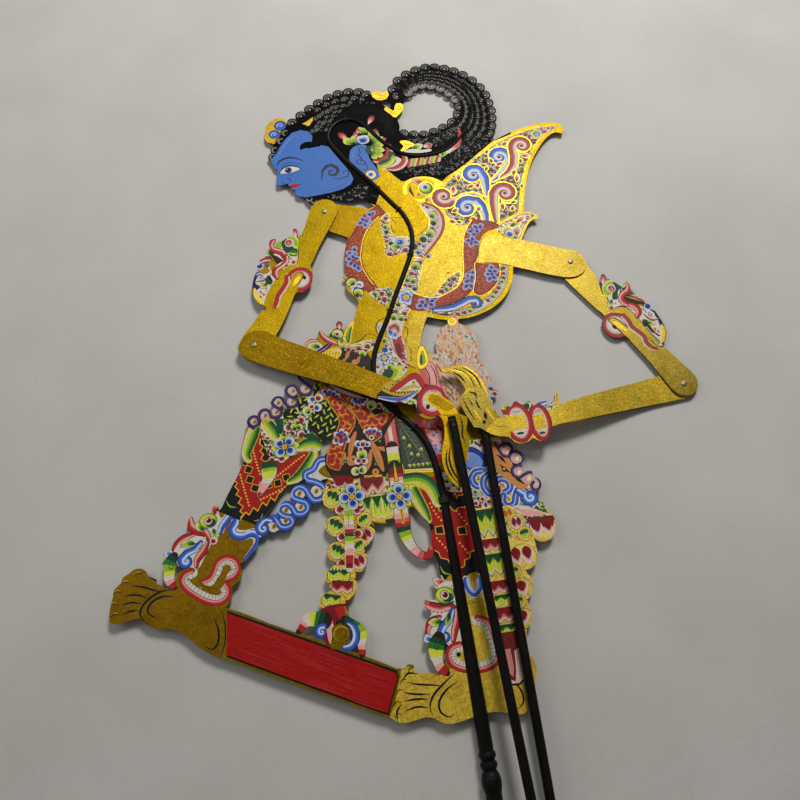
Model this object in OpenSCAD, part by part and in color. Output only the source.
// Flat hide shadow puppet with hinged arms, a split main rod and two hand rods.
// It lies on its back: +Z is the front of the hide, +Y runs to the head and
// the main rod's grip lies along -Y. The hide's middle plane is z = 0.

/* [Hide] */
// thickness of every hide sheet (mm)
hide_t = 1.2; // [1.0:0.1:1.2]
// show one piece, or all of them

/* [Rods] */
// radius of the main rod's grip (mm)
grip_r = 5.4; // [4.8:0.1:5.6]
// length of the straight part of the grip (mm)
grip_len = 85; // [60:5:100]
// length of the pointed end under the grip (mm)
point_len = 55; // [30:5:80]
// radius of both hand rods (mm)
rod_r = 3.3; // [3.0:0.1:3.3]
// length of both hand rods (mm)
rod_len = 312; // [280:2:340]

/* [Rivets and thread] */
// radius of the rivets' shanks (mm)
shank_r = 1.2; // [1.0:0.1:1.3]
// radial running clearance in the limb holes (mm)
clearance = 0.05; // [0.03:0.01:0.08]
// radius of the binding thread (mm)
thread_r = 0.4; // [0.3:0.05:0.4]

/* [Colours] */
// gilded hide
gold = "#d2a520";
// rods, horn and dark wood
dark = "#1a1918";
// rivets
metal = "#8d8a84";
// thread
thread = "#2a2622";

/* [Hidden] */
h = hide_t / 2;
hole_r = shank_r + clearance;

// levels of the hinged sheets: middle of each, bottom to top
z_lu = 1.8;      // left upper arm
z_le = 3.6;      // left forearm at its elbow
z_lh = 11.0;     // left hand, over every other piece
z_ru = -1.5;     // right upper arm, behind the shoulder
z_re = -3.0;     // right forearm at its elbow
z_rh = 8.4;      // right hand, over its rod
z_lrod = 15.2;   // left rod, on the hand
z_rrod = 4.2;    // right rod, under the hand

// hinge centres
l_shoulder = [-63, 462];
l_elbow = [-133, 340];
r_shoulder = [143, 381.4];
r_elbow = [208, 258.3];
l_tie = [15, 245];
r_tie = [40, 247];
l_arm_dir = -31;   // left forearm, elbow to hand (degrees)
r_arm_dir = 186.4; // right forearm
l_rod_dir = -88.55;
r_rod_dir = -91.1;

// ---- curves -------------------------------------------------------------
function cr1(a, b, c, d, t) = 0.5 * (2 * b + (c - a) * t
    + (2 * a - 5 * b + 4 * c - d) * t * t + (3 * b - a - 3 * c + d) * t * t * t);
// smooth curve through every point, ends kept
function curve(p, n = 2) = concat([for (i = [0 : len(p) - 2]) for (k = [0 : n - 1])
    cr1(p[max(i - 1, 0)], p[i], p[i + 1], p[min(i + 2, len(p) - 1)], k / n)], [p[len(p) - 1]]);
// smooth closed curve
function loop(p, n = 2) = let (m = len(p)) [for (i = [0 : m - 1]) for (k = [0 : n - 1])
    cr1(p[(i + m - 1) % m], p[i], p[(i + 1) % m], p[(i + 2) % m], k / n)];
// row of round lobes on the left of the way through the centres
function ang(v) = atan2(v[1], v[0]);
function valley(a, b, r) = let (d = b - a, l = norm(d))
    (a + b) / 2 + [-d[1], d[0]] / l * sqrt(max(0.04, r * r - l * l / 4));
function lobes(c, r, a = 62, n = 3) = let (m = len(c) - 1) [for (i = [0 : m])
    let (t0 = i == 0 ? ang(c[1] - c[0]) + 90 + a : ang(valley(c[i - 1], c[i], r) - c[i]),
         t1 = i == m ? ang(c[m] - c[m - 1]) + 90 - a : ang(valley(c[i], c[i + 1], r) - c[i]),
         w = (t0 - t1 + 720) % 360)
    for (k = [i == 0 ? 0 : 1 : 2 * n]) c[i] + r * [cos(t0 - w * k / n / 2), sin(t0 - w * k / n / 2)]];

// ---- outline of the body sheet, clockwise from the chin --------------------
face = [[-80, 482.2], [-83.5, 482.5], [-86.5, 485.5], [-87, 490], [-90.2, 492], [-90, 494.3], [-92.4, 495.5],
        [-93, 498.3], [-99.5, 497], [-102.5, 498.2], [-103, 501], [-102, 508], [-101, 514], [-103.5, 517.5],
        [-105.4, 523]];
front_hair = [[-104, 530], [-101.5, 537.5]];
rosette = [[-103, 545.5], [-107.5, 547.5], [-110, 552], [-109.5, 559], [-108, 566], [-104, 571],
           [-98, 574.5], [-92, 574], [-89, 571.5]];
crown = [[-83, 567], [-74, 574.5], [-65, 581], [-56, 587], [-46, 592], [-36, 595.5], [-26, 596.5],
         [-16, 595], [-9, 591]];
leaf = [[-2.8, 592.5], [0, 595], [4, 592.5], [8, 591.5], [11, 592.5]];
curl_out = [[17.5, 594], [24, 604], [33, 610.5], [43, 614.5], [53, 616.5], [62, 615.5], [71, 612.5],
            [79.5, 608], [87.5, 602], [95, 594], [101, 584.5], [104.5, 574.5], [105.5, 564.5],
            [106, 555], [105, 546], [103, 537], [99.5, 528.5]];
wing = [[100.5, 518.3], [112, 523.5], [126, 528.5], [140, 531.5], [151, 533], [160, 532.5],
        [166.5, 530], [170, 525.5], [169.5, 520.5], [167, 518.5], [163, 520.5], [157, 519],
        [149, 512.5], [141, 503], [134, 493], [128, 482], [123, 470], [119, 457.5], [115.5, 445],
        [113, 436.5]];
wing_tip = [[113.5, 437], [118, 437], [122.5, 434.5], [125, 430.5], [124, 428], [120.5, 428.5],
            [116, 425.5], [112, 420], [108.5, 414], [105.5, 409.5]];
strip_r = [[107, 409], [120, 403], [140, 395], [149, 391.5], [153.5, 387.5], [156, 381], [155.5, 375],
           [152, 370], [146, 367], [140, 366.5], [134, 367.5], [120, 372.5], [105, 379], [93, 384]];
rim = [[92.3, 382], [90.5, 374], [87, 366], [82, 358.5], [75, 352], [66, 346.5], [56, 343], [46, 341],
       [37, 341]];
hip_r = [[36.5, 338], [38.5, 336], [44, 332.5], [48, 325.5], [49.5, 317], [48.5, 308], [46.5, 302],
         [50, 297], [53, 290.5], [54, 283], [53, 277], [56.5, 275], [57, 271], [53, 268.5], [51, 262],
         [53, 255], [56, 247], [57, 238], [58, 231]];
wave_r = [[60, 227.5], [60, 224], [63, 223.5], [66.5, 220.5], [66.5, 215.5], [63.5, 211.5], [67, 209.5],
          [70.5, 206], [70.5, 201.5], [74.5, 198.5], [75.5, 194], [73, 190], [69.5, 189]];
scale_r = [[70.5, 186], [72.5, 182], [75.5, 176], [79, 169.5], [79.5, 165], [77.5, 158], [73.5, 153.5],
           [68.5, 152], [63.5, 153.5], [61, 156]];
fringe_r = [[61.5, 150], [61, 143], [58.5, 138], [53.5, 134.5], [50, 134]];
fringe_s = [[52.5, 129.5], [53.5, 124], [51.5, 118], [47, 114.5]];
fringe_t = [[47.5, 110], [48.5, 104], [46.5, 98], [42.5, 95]];
heel_r = [[41, 88], [40.5, 79], [42.5, 76], [44, 70.5], [43, 65.5], [41, 61], [40, 55], [36, 48],
          [31, 43.5], [26.5, 42], [19, 44.5], [10, 46.5], [0, 46.5], [-10, 44.5], [-20, 43.5], [-26, 45],
          [-31, 48.5], [-37, 50], [-45, 49], [-52, 48.5], [-57, 50.5], [-60, 53]];
bar = [[-66, 55], [-100, 71.5], [-140, 91], [-168, 105]];
foot_l = [[-173, 107], [-180, 111], [-188, 117], [-195, 124], [-203, 129.5], [-213, 132], [-222, 135],
          [-228, 141], [-236, 140.5], [-245, 139.5], [-249, 142], [-249, 150], [-247, 158], [-246, 163.5],
          [-241.5, 167], [-240, 171], [-235.5, 173], [-232, 175.5], [-227, 175.5], [-224, 173],
          [-222, 169.5], [-216, 166], [-211, 160], [-208, 157.5]];
anklet_l = [[-211, 161.5], [-210.5, 169], [-211, 177], [-212.5, 180], [-210, 184.5], [-206, 185],
            [-204, 189], [-200.5, 194], [-195.5, 196.5], [-193, 198.5], [-192.5, 203.5], [-190, 208],
            [-187, 206], [-185, 203], [-181, 208], [-175.5, 209], [-174, 212], [-172, 215],
            [-169.5, 213], [-169, 209.5], [-166.5, 211.5]];
kain_l = [[-162, 220], [-154, 233], [-148, 244.5]];
kain_m = [[-149.5, 250], [-148.5, 258], [-146, 267], [-143.5, 272]];
wave_l = [[-145, 276], [-143.5, 280.5], [-139, 282], [-136, 280.5], [-133.5, 284.5], [-129, 286.5],
          [-125.5, 285], [-124, 290], [-120.5, 294], [-116, 294], [-113, 292.5], [-113, 298.5],
          [-109, 303], [-104, 303.5], [-101.5, 307], [-100, 312]];
hip_l = [[-97, 320], [-95, 328], [-93.5, 334], [-91.5, 338], [-86.5, 340.5], [-82.5, 339.5],
         [-80.5, 345], [-78, 347], [-75, 343], [-72.5, 341], [-70.5, 345], [-67, 346.5], [-65, 347.5],
         [-65, 351], [-62, 353.5], [-59.5, 351], [-60.5, 346.5], [-57, 345.5], [-53.5, 349.5]];
belly_l = [[-49.5, 352], [-47, 360], [-44, 368], [-44.5, 372], [-48, 376], [-51.5, 381], [-52.5, 387],
           [-51.5, 391.5], [-54, 393.5], [-53, 396.5], [-50.5, 397.5], [-51, 404], [-50.5, 413],
           [-49, 422], [-46, 430], [-44.5, 433]];
strip_l = [[-52, 437.5], [-61, 442.5], [-68, 446], [-73, 452], [-75, 459], [-73, 466], [-67.5, 470],
           [-60, 471], [-52, 469.5], [-40, 466], [-30, 463], [-23, 460.5], [-18.5, 462.5]];
nape = [[-23, 468], [-28, 472.5], [-35, 472], [-43, 472], [-50, 474], [-56, 477], [-61.5, 480]];
tuft = [[-62.5, 476], [-66, 473], [-71, 472.5], [-76, 475], [-78, 479.5]];

outer = concat(curve(face), lobes(front_hair, 4.6), curve(rosette), lobes(crown, 5.6), curve(leaf),
    lobes(curl_out, 5.6), curve(wing), curve(wing_tip), curve(strip_r), curve(rim), curve(hip_r),
    curve(wave_r), curve(scale_r), curve(fringe_r), curve(fringe_s), curve(fringe_t), curve(heel_r),
    bar, curve(foot_l), curve(anklet_l), kain_l, curve(kain_m), curve(wave_l), curve(hip_l),
    curve(belly_l), curve(strip_l), curve(nape), curve(tuft));

// ---- openings cut through the body sheet -----------------------------------
curl_in = [[20, 539.5], [29, 537], [38.5, 535.5], [48.5, 537.5], [58, 541], [67.5, 546.5], [74.5, 554.5],
           [77.5, 564], [75.5, 573.5], [70.5, 582], [63.5, 589], [55, 593.5], [46, 595.5], [37.5, 593.5],
           [31.5, 588]];
tendril = [[26.5, 581], [24.5, 575], [24, 570], [21.5, 565], [17.5, 561.5], [16, 559], [17, 554],
           [17.5, 549]];
hole_curl = concat(lobes(curl_in, 5), curve(tendril));
hole_leaf = loop([[3.5, 579.5], [7.5, 582.5], [11.5, 580], [13, 575], [11, 571], [8, 573]]);
hole_nape = [[42, 486], [47, 486.5], [52.5, 486.5], [50, 483], [47, 480.5], [44.5, 482.5]];
hole_belly = [[12.5, 346.5], [19, 344], [27.5, 341.5], [28, 338], [24, 336], [18.5, 332], [15, 325],
              [14, 318], [14.5, 313], [10.5, 312], [7, 314.5], [6, 319], [3.5, 322], [1.5, 322.5],
              [4, 330], [8, 340], [11, 346]];
hole_thigh = loop([[-136, 197.5], [-131, 204], [-125, 212], [-119, 219], [-114, 221.5], [-108, 222],
              [-104, 224.5], [-102, 222.5], [-105, 220.5], [-110.5, 220], [-114, 215.5], [-114, 211],
              [-119, 210], [-124, 206], [-125, 201.5], [-131, 200.5]]);
hole_shin = concat([[-140, 126], [-155, 134]], curve([[-167, 139.5], [-164.5, 142.5], [-162, 147.5],
    [-161.5, 153.5], [-156, 157], [-154, 163], [-155.5, 168.5], [-152, 169.5], [-147, 174],
    [-141.5, 179.5], [-140, 185.5], [-135, 184.5], [-130.5, 185.5], [-127, 188.5], [-122, 187],
    [-116.5, 188.5], [-112.5, 194.5], [-107, 195], [-102, 199.5], [-99, 204.5], [-93, 204.5],
    [-90.5, 206], [-90.5, 201.5], [-87.5, 198.5], [-84.5, 196.5], [-85.5, 193.5], [-89.5, 191.5],
    [-91, 186], [-88.5, 180.5], [-84.5, 177.5], [-85.5, 175], [-90.5, 172], [-92, 167], [-89.5, 161.5],
    [-87, 159.5], [-88.5, 157], [-93.5, 153], [-95, 148], [-92.5, 143.5], [-91, 141], [-95.5, 139],
    [-99.5, 136], [-100.5, 131.5], [-100, 128.5], [-104.5, 127.5], [-109.5, 128], [-113.5, 125],
    [-117, 119.5], [-119.5, 116]]));
hole_legs = concat([[-72.5, 93.5], [-60, 87], [-52, 82.5]], curve([[-46.5, 82], [-44, 84], [-39.5, 83],
    [-37, 79.5], [-31, 77.5], [-26, 76], [-25.5, 80], [-28, 86], [-28.5, 91], [-31.5, 91.5], [-31, 97],
    [-29, 102], [-28, 107.5], [-25.5, 111.5], [-22.5, 114], [-23, 117], [-26.5, 119.5], [-26, 123.5],
    [-22.5, 124.5], [-18.5, 123], [-17.5, 127.5], [-17, 131.5], [-19, 135], [-18, 138.5], [-14, 138],
    [-11.5, 136.5], [-12, 142], [-12, 150], [-14, 154.5], [-17.5, 152.5], [-21.5, 151], [-26.5, 152.5],
    [-32.5, 158.5], [-37, 168], [-39, 176.5], [-39.5, 183], [-45, 182], [-50.5, 182.5], [-55, 184],
    [-54.5, 177.5], [-57, 172], [-62, 168], [-64.5, 166.5], [-62.5, 160.5], [-63.5, 155.5],
    [-67.5, 150.5], [-72, 150], [-73, 147], [-72.5, 142], [-75, 136], [-80, 132], [-82, 129.5],
    [-80.5, 126], [-81, 121.5], [-78, 119], [-74, 116], [-70.5, 112], [-69.5, 107], [-71.5, 101.5],
    [-71.5, 97]]));
hole_tail = loop([[-27.5, 190.5], [-27, 181], [-28, 174], [-25, 165.5], [-21, 159.5], [-18.5, 159],
    [-17.5, 162.5], [-14.5, 163], [-14, 172], [-14.5, 179], [-18.5, 183], [-22, 188.5], [-24, 191.5]]);
holes = [hole_curl, hole_leaf, hole_nape, hole_belly, hole_thigh, hole_shin, hole_legs, hole_tail];

// ---- outlines of the limbs --------------------------------------------------
left_upper = [[-63, 475], [-56, 473], [-51.5, 467], [-51.5, 460], [-55, 453], [-62, 441.5], [-70, 428.5],
    [-77.5, 414], [-80.5, 408.5], [-79.5, 402], [-80.5, 394], [-84.5, 387], [-90, 384], [-95, 384.5],
    [-98.5, 378], [-104, 366], [-110.5, 354], [-117.5, 343], [-119, 335], [-124, 328], [-132, 325.5],
    [-140, 328], [-145, 335], [-145.5, 343], [-141.5, 351], [-136, 357], [-130, 364.5], [-125, 372],
    [-122.5, 376], [-127, 378.5], [-130, 384], [-131.5, 391], [-131, 398.5], [-129, 405], [-127, 410],
    [-127.5, 414.5], [-123.5, 416], [-123.5, 420.5], [-118.5, 422.5], [-118, 426.5], [-113.5, 429],
    [-114.5, 434.5], [-113, 439], [-109, 440], [-106, 436.5], [-101, 437.5], [-97.5, 440.5], [-93, 440],
    [-92.5, 443.5], [-92, 448], [-89, 447.5], [-87, 443.5], [-86.5, 440], [-82.5, 447], [-78.5, 457],
    [-76, 465], [-70, 472.5]];
left_fore = [[-143.5, 345], [-139, 350.5], [-131, 353], [-122, 350.5], [-117, 346.5], [-100, 336.5],
    [-85, 327.5], [-70, 318], [-55, 309], [-42, 300.5], [-34, 296], [-28, 292.5], [-20, 288.5],
    [-12, 293.5], [-6, 294], [-2.5, 289.5], [-0.5, 283.5], [3, 282.5], [8, 281], [12.5, 277], [14, 272],
    [19, 262], [21, 256], [25, 253.5], [27, 252], [26.5, 247.5], [24.5, 241], [25.5, 233], [24, 227.5],
    [22, 222], [18.5, 212], [15.5, 203.5], [12.5, 198.5], [9, 201], [5.5, 206.5], [3, 214], [2.5, 222],
    [4, 230], [7, 238], [8.5, 247], [7.5, 254], [5, 256.5], [2, 255], [-2.5, 254.5], [-7.5, 257],
    [-10.5, 262.5], [-10.5, 268], [-15, 268.5], [-21, 271], [-28, 272.5], [-36, 275.5], [-43, 278.5],
    [-55, 285], [-70, 293], [-90, 303], [-110, 313], [-128, 322], [-140, 329], [-146, 336], [-146, 341]];
right_upper = [[143, 393.5], [151, 391.5], [155.5, 385.5], [156.5, 378], [160.5, 369.5], [164, 361.5],
    [165.5, 362], [167.5, 366.5], [170, 366], [171.5, 361.5], [177, 356.5], [182, 351.5], [184.5, 355],
    [187, 356.5], [188.5, 352], [188.5, 346.5], [192, 344.5], [193, 340], [196.5, 337], [197, 333.5],
    [200.5, 332], [202.5, 327], [205, 319.5], [207, 311], [206.5, 302.5], [203, 296.5], [200, 295],
    [204, 288], [210.5, 277.5], [216.5, 268.5], [219.5, 261], [218.5, 254.5], [213.5, 249],
    [206.5, 247.5], [200.5, 250], [196.5, 256], [192, 267], [187, 278.5], [181.5, 289.5], [176, 300],
    [172.5, 306.5], [167, 305], [160.5, 307.5], [156.5, 313.5], [156, 321], [160, 327], [155, 334],
    [147.5, 345.5], [140.5, 357], [134.5, 367], [130.5, 376], [131, 385], [136, 391.5]];
right_fore = [[208, 270.5], [200, 269.5], [190, 268], [170, 265], [150, 262], [130, 258.5], [110, 255],
    [101.5, 253.5], [102, 258.5], [102, 263], [99.5, 263], [98.5, 258.5], [95.5, 255.5], [91, 257],
    [85, 256.5], [80.5, 254.5], [79, 258.5], [76, 259], [73.5, 256.5], [70.5, 257.5], [68.5, 260],
    [66, 259.5], [62.5, 256], [59, 258.5], [55.5, 257], [55.5, 252.5], [56.5, 248.5], [50, 249],
    [48, 256], [47, 266], [46.5, 275.5], [44, 282.5], [40, 289.5], [34.5, 294.5], [28.5, 296],
    [21, 296.5], [14.5, 295.5], [16.5, 292.5], [22.5, 290.5], [26.5, 285.5], [29.5, 278.5], [30, 274],
    [26.5, 271.5], [24.5, 266], [25.5, 260], [27.5, 254], [30.5, 247], [31.5, 244], [35.5, 243],
    [38.5, 241], [43, 237], [50, 234], [56.5, 232.5], [60, 228], [65, 226], [71, 227], [74.5, 229],
    [77.5, 227], [82.5, 225.5], [87.5, 229.5], [90.5, 236], [110, 237.5], [130, 239.5], [150, 241.5],
    [170, 243.5], [190, 245], [204, 246], [212, 247.5], [218, 252.5], [220, 259], [217.5, 265.5],
    [212.5, 269.5]];

// ---- main rod's bent upper halves: way through the figure and half width ------
way = curve([[55, 618], [62, 614], [70, 609], [77, 602], [83.5, 593], [88, 583], [90, 573], [89.5, 563],
    [87, 553], [83, 544], [77, 534], [70, 525.5], [62, 518.5], [53, 514], [42, 511.5], [31, 511.5],
    [20, 514], [11, 520], [2, 529], [-6, 540], [-13, 551], [-19, 558], [-26, 562.5], [-33, 563.5],
    [-40, 561.5], [-46, 557], [-50, 550], [-51, 543], [-49, 536], [-44, 527], [-36, 514], [-26, 500],
    [-16, 486], [-8, 473], [-1, 462], [5, 453], [9, 443], [11, 432], [10, 420], [6.5, 408], [2, 398],
    [-3, 388], [-8, 378], [-13, 368], [-18, 357], [-23, 347], [-28, 338], [-33, 328], [-37, 318],
    [-39, 308], [-39.5, 300], [-39, 290], [-36, 280], [-30, 271], [-22, 263], [-14, 253], [-8, 243],
    [-4, 232], [-2, 220], [-0.8, 208], [0, 197.3]], 2);
wn = len(way);
function ease(t) = let (u = max(0, min(1, t))) u * u * (3 - 2 * u);
function half_w(i) = let (t = i / (wn - 1)) 0.9 + 1.25 * ease(t / 0.45) + 0.65 * ease((t - 0.8) / 0.2);
function half_h(i) = min(2.1, 0.95 * half_w(i));
function way_dir(i) = let (d = way[min(i + 1, wn - 1)] - way[max(i - 1, 0)]) d / norm(d);
arc_n = 6;
// half-round bar on the front (s = 1) or the back (s = -1) of the hide
module half_bar(s) {
    ring = [for (k = [0 : arc_n]) [cos(180 * k / arc_n), sin(180 * k / arc_n)]];
    pts = [for (i = [0 : wn - 1]) let (d = way_dir(i), nrm = [-d[1], d[0]]) for (q = ring)
        [way[i][0] + nrm[0] * q[0] * half_w(i), way[i][1] + nrm[1] * q[0] * half_w(i),
         s * (h + q[1] * half_h(i))]];
    m = arc_n + 1;
    side = [for (i = [0 : wn - 2]) for (k = [0 : m - 1]) let (k2 = (k + 1) % m)
        [i * m + k, i * m + k2, (i + 1) * m + k2, (i + 1) * m + k]];
    caps = [[for (k = [m - 1 : -1 : 0]) k], [for (k = [0 : m - 1]) (wn - 1) * m + k]];
    all = concat(side, caps);
    polyhedron(pts, [for (f = all) s > 0 ? f : [for (j = [len(f) - 1 : -1 : 0]) f[j]]], convexity = 10);
}

// thread loops round the bent halves: place and way of the rod
tie_r = 3.2;
ties = [[89.5, 563, 90], [36, 511.3, 0], [-33, 563.5, 0], [-13, 481, -58], [3, 456, -56],
        [6.5, 408, -114], [-18, 357, -115], [-14, 253, -55]];

// ---- small shared shapes ------------------------------------------------------
module sheet(pts, z) translate([0, 0, z - h]) linear_extrude(hide_t) polygon(pts);
// cuts a hinge hole
module hole(c, r) translate([c[0], c[1], -20]) cylinder(h = 60, r = r, $fn = 48);
// bent slab that lifts a forearm from its elbow level to its hand level
module slab(c, dir, z0, z1, s0, s1) {
    s = concat([-25], [for (k = [0 : 12]) s0 + (s1 - s0) * k / 12], [260]);
    zz = [for (q = s) z0 + (z1 - z0) * ease((q - s0) / (s1 - s0))];
    n = len(s);
    translate([c[0], c[1], 0]) rotate([0, 0, dir]) rotate([90, 0, 0])
        linear_extrude(240, center = true) polygon(concat([for (i = [0 : n - 1]) [s[i], zz[i] - h]],
            [for (i = [n - 1 : -1 : 0]) [s[i], zz[i] + h]]));
}
// rivet along +Z: low end z0, head seat z1
module rivet(c, z0, z1) translate([c[0], c[1], 0]) rotate_extrude($fn = 48) polygon([
    [0, z0 - 0.45], [shank_r + 0.2, z0 - 0.4], [shank_r + 0.35, z0 - 0.15], [shank_r + 0.35, z0],
    [shank_r, z0], [shank_r, z1], [2.3, z1], [2.3, z1 + 0.25], [1.9, z1 + 0.6], [1.1, z1 + 0.85],
    [0, z1 + 0.95]]);
module washer(c, z) translate([c[0], c[1], z]) difference() {
    cylinder(h = 0.45, r = 2.7, $fn = 48);
    translate([0, 0, -1]) cylinder(h = 3, r = shank_r + 0.02, $fn = 48);
}
// hand rod along +X from its tip, with a waist for the whipping near the tip
module rod(c, dir, z) translate([c[0], c[1], z]) rotate([0, 0, dir]) rotate([0, 90, 0])
    rotate_extrude($fn = 48) polygon([[0, -8], [rod_r - 0.8, -8], [rod_r - 0.3, -7.6],
        [rod_r - 0.1, -7], [rod_r - 0.1, -6.2], [rod_r - 0.8, -5.9], [rod_r - 0.8, -3.5],
        [rod_r, -3.2], [rod_r, rod_len - 16], [rod_r - 0.4, rod_len - 10], [rod_r - 1.6, rod_len - 8],
        [0, rod_len - 8]]);
module rod_whipping(c, dir, z) translate([c[0], c[1], z]) rotate([0, 0, dir]) rotate([0, 90, 0])
    for (k = [0 : 2]) translate([0, 0, -5.5 + k * 0.8])
        rotate_extrude($fn = 48) translate([rod_r - 0.8 + 0.36, 0]) circle(r = 0.35, $fn = 16);

// ---- pieces --------------------------------------------------------------------
module body_hide() color(gold) difference() {
    counts = concat([len(outer)], [for (q = holes) len(q)]);
    translate([0, 0, -h]) linear_extrude(hide_t) polygon(
        points = concat(outer, hole_curl, hole_leaf, hole_nape, hole_belly, hole_thigh, hole_shin,
                        hole_legs, hole_tail),
        paths = [for (k = [0 : len(counts) - 1]) let (o = k == 0 ? 0 : sum_to(counts, k - 1))
                 [for (j = [0 : counts[k] - 1]) o + j]]);
    hole(l_shoulder, hole_r);
    hole(r_shoulder, hole_r);
    for (t = ties) translate([t[0], t[1], 0]) rotate([0, 0, t[2]]) for (s = [-1, 1])
        hole([0, s * tie_r], thread_r + 0.15);
    for (s = [-1, 1]) translate([s * 3.65 - 0.55, 190, -5]) cube([1.1, 6, 10]);
}
function sum_to(v, k) = k < 0 ? 0 : v[k] + sum_to(v, k - 1);

module gapit_front() color(dark) half_bar(1);
module gapit_back() color(dark) half_bar(-1);
module gapit_ties() color(thread) for (t = ties) translate([t[0], t[1], 0]) rotate([0, 0, t[2]])
    rotate([0, 90, 0]) rotate_extrude($fn = 48) translate([tie_r, 0]) circle(r = thread_r, $fn = 16);

module main_stem() color(dark) difference() {
    rotate([-90, 0, 0]) rotate_extrude($fn = 64) polygon([
        [0, -grip_len - point_len], [0.9, -grip_len - point_len], [2.2, -grip_len - point_len * 0.7],
        [grip_r - 0.6, -grip_len - 8], [grip_r, -grip_len], [grip_r, 0], [5.9, 1.2], [6.4, 3.2],
        [6.7, 6], [6.4, 8.8], [5.7, 11], [4.7, 12.6], [4.7, 14], [5.6, 14.8], [5.9, 16.2], [5.6, 17.6],
        [4.7, 18.4], [4.7, 19.8], [5.6, 20.6], [5.9, 22], [5.6, 23.4], [4.8, 24.4], [5, 26], [5, 40],
        [4.3, 110], [3.1, 196], [2.8, 197], [0, 197]]);
    translate([-12, 40, -h - 0.05]) cube([24, 170, hide_t + 0.1]);
}
module stem_whipping() color(thread) for (k = [0 : 4]) translate([0, 191.2 + k * 0.9, 0])
    rotate([90, 0, 0]) rotate_extrude($fn = 48) translate([3.17 + thread_r, 0]) circle(r = thread_r, $fn = 16);

module left_shoulder_rivet() color(metal) rivet(l_shoulder, -h - 0.6, z_lu + h + 0.1);
module left_shoulder_washer() color(metal) washer(l_shoulder, -h - 0.55);
module right_shoulder_rivet() color(metal) rivet(r_shoulder, z_ru - h - 0.6, h + 0.1);
module right_shoulder_washer() color(metal) washer(r_shoulder, z_ru - h - 0.55);

module left_upper_arm() color(gold) difference() {
    sheet(loop(left_upper), z_lu);
    hole(l_shoulder, hole_r);
    hole(l_elbow, hole_r);
}
module left_elbow_rivet() color(metal) rivet(l_elbow, z_lu - h - 0.6, z_le + h + 0.1);
module left_elbow_washer() color(metal) washer(l_elbow, z_lu - h - 0.55);
module left_forearm() color(gold) difference() {
    intersection() {
        translate([0, 0, -10]) linear_extrude(40) polygon(loop(left_fore));
        slab(l_elbow, l_arm_dir, z_le, z_lh, 16, 106);
    }
    hole(l_elbow, hole_r);
    hole(l_tie, 0.65);
}
// knotted thread through the hand and the rod's eye
module left_rod_tie() color(thread) translate([l_tie[0], l_tie[1], 0]) rotate_extrude($fn = 32) polygon([
    [0, z_lh - h - 0.55], [1.2, z_lh - h - 0.5], [1.5, z_lh - h - 0.3], [1.5, z_lh - h - 0.05],
    [0.6, z_lh - h - 0.05], [0.6, z_lrod + rod_r + 0.1], [1.5, z_lrod + rod_r + 0.1],
    [1.5, z_lrod + rod_r + 0.4], [1.1, z_lrod + rod_r + 0.8], [0, z_lrod + rod_r + 1]]);
module left_hand_rod() color(dark) difference() {
    rod(l_tie, l_rod_dir, z_lrod);
    hole(l_tie, 0.65);
}
module left_rod_whipping() color(thread) rod_whipping(l_tie, l_rod_dir, z_lrod);

module right_upper_arm() color(gold) difference() {
    sheet(loop(right_upper), z_ru);
    hole(r_shoulder, hole_r);
    hole(r_elbow, hole_r);
}
module right_elbow_rivet() color(metal) rivet(r_elbow, z_re - h - 0.6, z_ru + h + 0.1);
module right_elbow_washer() color(metal) washer(r_elbow, z_re - h - 0.55);
module right_forearm() color(gold) difference() {
    intersection() {
        translate([0, 0, -10]) linear_extrude(40) polygon(loop(right_fore));
        slab(r_elbow, r_arm_dir, z_re, z_rh, 18, 122);
    }
    hole(r_elbow, hole_r);
    hole(r_tie, 0.65);
}
// the lower knot sits in a countersink, because this rod lies on the hide
module right_rod_tie() color(thread) translate([r_tie[0], r_tie[1], 0]) rotate_extrude($fn = 32) polygon([
    [0, z_rrod - rod_r + 0.1], [1.1, z_rrod - rod_r + 0.15], [1.3, z_rrod - rod_r + 0.3],
    [1.3, z_rrod - rod_r + 0.7], [0.6, z_rrod - rod_r + 0.7], [0.6, z_rh + h + 0.05],
    [1.5, z_rh + h + 0.05], [1.5, z_rh + h + 0.25], [1.2, z_rh + h + 0.5], [0, z_rh + h + 0.55]]);
module right_hand_rod() color(dark) difference() {
    rod(r_tie, r_rod_dir, z_rrod);
    hole(r_tie, 0.65);
    translate([r_tie[0], r_tie[1], z_rrod - rod_r - 1]) cylinder(h = 1.85, r = 1.45, $fn = 32);
}
module right_rod_whipping() color(thread) rod_whipping(r_tie, r_rod_dir, z_rrod);

body_hide();
gapit_front();
gapit_back();
gapit_ties();
main_stem();
stem_whipping();
left_shoulder_rivet();
left_shoulder_washer();
right_shoulder_rivet();
right_shoulder_washer();
left_upper_arm();
left_elbow_rivet();
left_elbow_washer();
left_forearm();
left_rod_tie();
left_hand_rod();
left_rod_whipping();
right_upper_arm();
right_elbow_rivet();
right_elbow_washer();
right_forearm();
right_rod_tie();
right_hand_rod();
right_rod_whipping();
